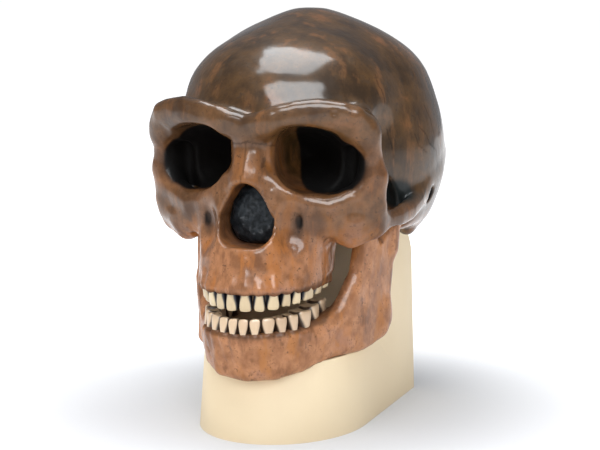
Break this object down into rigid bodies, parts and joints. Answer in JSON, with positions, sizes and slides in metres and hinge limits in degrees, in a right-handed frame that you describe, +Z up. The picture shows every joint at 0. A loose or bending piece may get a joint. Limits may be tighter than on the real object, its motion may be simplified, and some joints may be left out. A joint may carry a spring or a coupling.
{
  "type": "fossil hominin skull model",
  "caption": "Life-size early human skull with heavy brow ridges, deep eye sockets and its lower jaw, standing on a rounded display base.",
  "frame": {"origin": "centre of the display base's flat underside", "axes": "+Z up, -Y the way the face looks, +X the skull's left"},
  "size_m": [0.1417, 0.2004, 0.2177],
  "materials": {
    "vault_bone": "varnished dark brown cast, slightly glossy",
    "face_bone": "varnished reddish brown cast, satin",
    "jaw_bone": "varnished light reddish brown cast, satin",
    "dark_rock": "dark blue-grey, rough and slightly glossy",
    "cream_base": "smooth matte cream"
  },
  "bodies": {
    "root": {"frontal": "vault_bone", "parietals": "vault_bone", "occipital": "vault_bone", "temporal_left": "vault_bone", "temporal_right": "vault_bone", "cranial_base": "vault_bone", "cheekbone_left": "face_bone", "cheekbone_right": "face_bone", "upper_jaw": "face_bone", "nose_matrix": "dark_rock", "lower_jaw": "jaw_bone", "display_base": "cream_base"}
  },
  "joints": []
}
